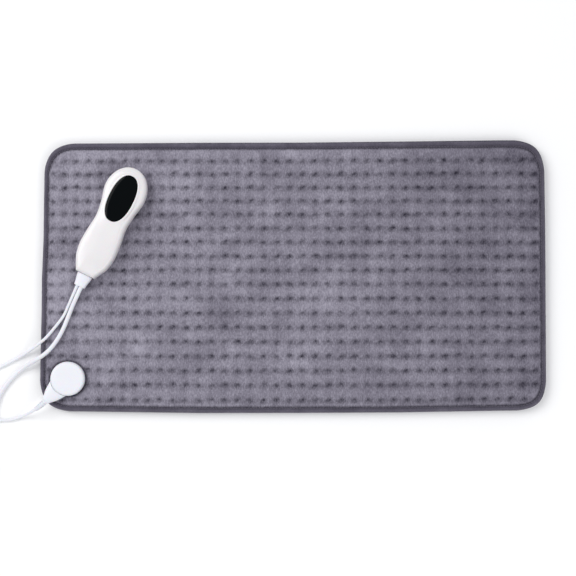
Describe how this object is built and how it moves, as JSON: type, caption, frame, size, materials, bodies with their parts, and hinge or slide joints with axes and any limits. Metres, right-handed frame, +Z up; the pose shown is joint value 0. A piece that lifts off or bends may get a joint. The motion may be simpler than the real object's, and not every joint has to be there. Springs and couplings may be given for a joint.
{
  "type": "electric heating pad",
  "caption": "Flat plush heating pad with a bound edge, a round connector at one corner and a waisted hand controller on its lead, with the mains lead put away in a coil.",
  "frame": {"origin": "middle of the pad, on the surface that it lies on", "axes": "+X along the pad's length, away from the hand controller; +Y across the pad, away from the corner connector; +Z up"},
  "size_m": [0.7654, 0.4236, 0.0329],
  "materials": {
    "plush": "short dimple-embossed plush flannel",
    "binding_tape": "folded satin-faced binding tape",
    "felt": "bonded felt and loose wadding",
    "wire_jacket": "matt silicone jacket",
    "black_plastic": "moulded black plastic",
    "white_pvc": "soft satin white PVC",
    "steel": "nickel-plated steel",
    "brass": "bright contact brass",
    "controller_shell": "smooth warm white moulded shell",
    "display_lens": "polished black tinted lens",
    "circuit_board": "solder-masked glass fibre",
    "diffuser": "milky moulded plastic",
    "amber_plastic": "potted film capacitor case"
  },
  "bodies": {
    "pad": {"bottom_cover": "plush", "top_cover": "plush", "edge_binding": "binding_tape", "lower_felt": "felt", "upper_felt": "felt", "wadding": "felt", "heating_wire": "wire_jacket", "thermal_cutout": "black_plastic", "wire_tail_far": "wire_jacket", "wire_tail_near": "wire_jacket", "socket_base": "white_pvc", "socket_cap": "white_pvc", "socket_backing_plate": "white_pvc", "contact_pin_1": "brass", "contact_pin_2": "brass", "contact_pin_3": "brass", "socket_screw_1": "steel", "socket_screw_2": "steel", "socket_screw_3": "steel"},
    "control_set": {"plug_lower_shell": "white_pvc", "plug_upper_shell": "white_pvc", "plug_contact_1": "brass", "plug_contact_2": "brass", "plug_contact_3": "brass", "plug_strain_relief": "white_pvc", "handset_lower_shell": "controller_shell", "handset_upper_shell": "controller_shell", "housing_screw_1": "steel", "housing_screw_2": "steel", "housing_screw_3": "steel", "housing_screw_4": "steel", "display_lens": "display_lens", "circuit_board": "circuit_board", "light_guide_frame": "black_plastic", "digit_display": "diffuser", "touch_spring_1": "steel", "touch_spring_2": "steel", "triac": "black_plastic", "film_capacitor": "amber_plastic", "microcontroller": "black_plastic", "fuse": "diffuser", "cable_boot": "white_pvc", "cord_clamp": "white_pvc", "clamp_screw_1": "steel", "clamp_screw_2": "steel", "pad_lead_near": "white_pvc", "pad_lead_far": "white_pvc", "pad_lead_coil": "white_pvc", "pad_lead_tie": "black_plastic", "mains_lead_near": "white_pvc", "mains_lead_far": "white_pvc", "mains_lead_coil": "white_pvc", "mains_lead_tie": "black_plastic", "mains_plug_body": "white_pvc", "mains_plug_relief": "white_pvc", "mains_pin_1": "steel", "mains_pin_2": "steel", "mains_pin_sleeve_1": "black_plastic", "mains_pin_sleeve_2": "black_plastic"}
  },
  "joints": [
    {"name": "connector_pull", "type": "slide", "parent": "pad", "child": "control_set", "axis": [-0.7071, -0.7071, 0], "range_m": [0, 0.016]}
  ]
}
